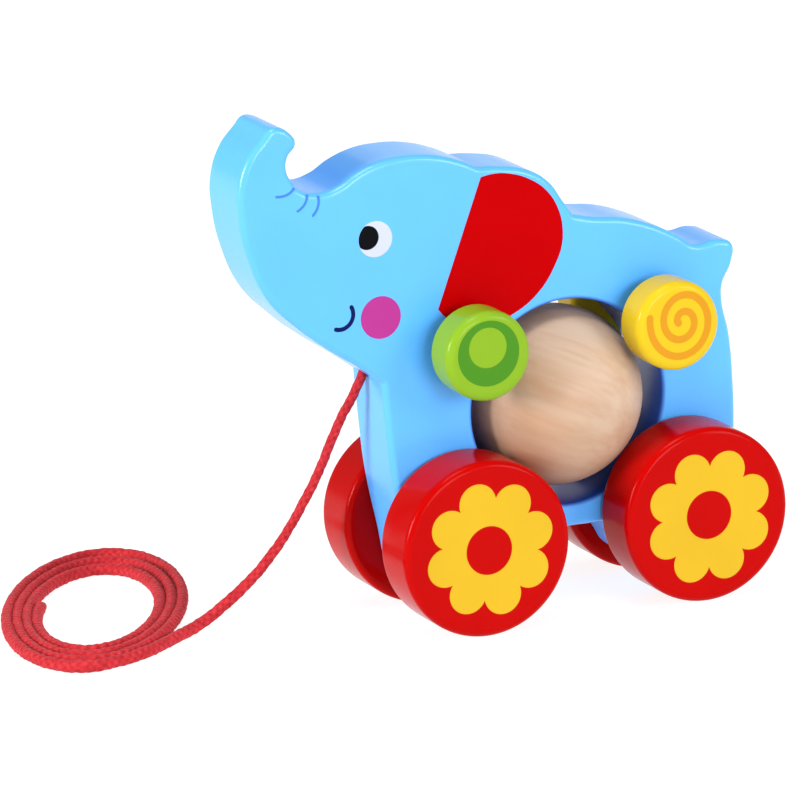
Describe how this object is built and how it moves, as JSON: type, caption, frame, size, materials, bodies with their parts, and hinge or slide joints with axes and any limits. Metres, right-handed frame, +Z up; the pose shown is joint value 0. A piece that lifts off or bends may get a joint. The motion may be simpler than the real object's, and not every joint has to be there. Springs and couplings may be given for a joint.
{
  "type": "pull along toy",
  "caption": "Wooden elephant pull-along toy on wheels, with a ball rolling in its open belly, spinning side discs and a braided pull cord.",
  "frame": {"origin": "on the floor, below the middle of the toy without its cord", "axes": "+X forward, the way the trunk points; +Y to the elephant's left side; +Z up"},
  "size_m": [0.2355, 0.1449, 0.1614],
  "materials": {
    "blue_paint": "smooth satin gloss paint",
    "red_paint": "gloss paint",
    "green_paint": "gloss paint",
    "yellow_paint": "gloss paint",
    "ball_wood": "bare sanded hardwood",
    "dowel_wood": "bare hardwood dowel",
    "cord_braid": "braided cotton cord"
  },
  "bodies": {
    "root": {"elephant_body": "blue_paint", "pull_cord": "cord_braid", "cord_coil": "cord_braid"},
    "front_wheelset": {"front_axle": "dowel_wood", "front_left_wheel": "red_paint", "front_right_wheel": "red_paint"},
    "rear_wheelset": {"rear_axle": "dowel_wood", "rear_left_wheel": "red_paint", "rear_right_wheel": "red_paint"},
    "front_disc_set": {"front_disc_pin": "dowel_wood", "front_left_disc": "green_paint", "front_right_disc": "green_paint"},
    "rear_disc_set": {"rear_disc_pin": "dowel_wood", "rear_left_disc": "yellow_paint", "rear_right_disc": "yellow_paint"},
    "ball": {"belly_ball": "ball_wood"}
  },
  "joints": [
    {"name": "front_axle_spin", "type": "hinge", "parent": "root", "child": "front_wheelset", "pos_m": [0.0161, 0, 0.0275], "axis": [0, 1, 0], "continuous": true},
    {"name": "rear_axle_spin", "type": "hinge", "parent": "root", "child": "rear_wheelset", "pos_m": [-0.0581, 0, 0.0275], "axis": [0, 1, 0], "continuous": true},
    {"name": "front_disc_spin", "type": "hinge", "parent": "root", "child": "front_disc_set", "pos_m": [0.0129, 0, 0.0868], "axis": [0, 1, 0], "continuous": true},
    {"name": "rear_disc_spin", "type": "hinge", "parent": "root", "child": "rear_disc_set", "pos_m": [-0.0508, 0, 0.0876], "axis": [0, 1, 0], "continuous": true},
    {"name": "ball_roll", "type": "hinge", "parent": "root", "child": "ball", "pos_m": [-0.021, 0, 0.06412], "axis": [0, 1, 0], "continuous": true}
  ],
  "couplings": [
    {"joint": "rear_axle_spin", "follows": "front_axle_spin", "ratio": 1},
    {"joint": "ball_roll", "follows": "front_axle_spin", "ratio": -1.108}
  ]
}
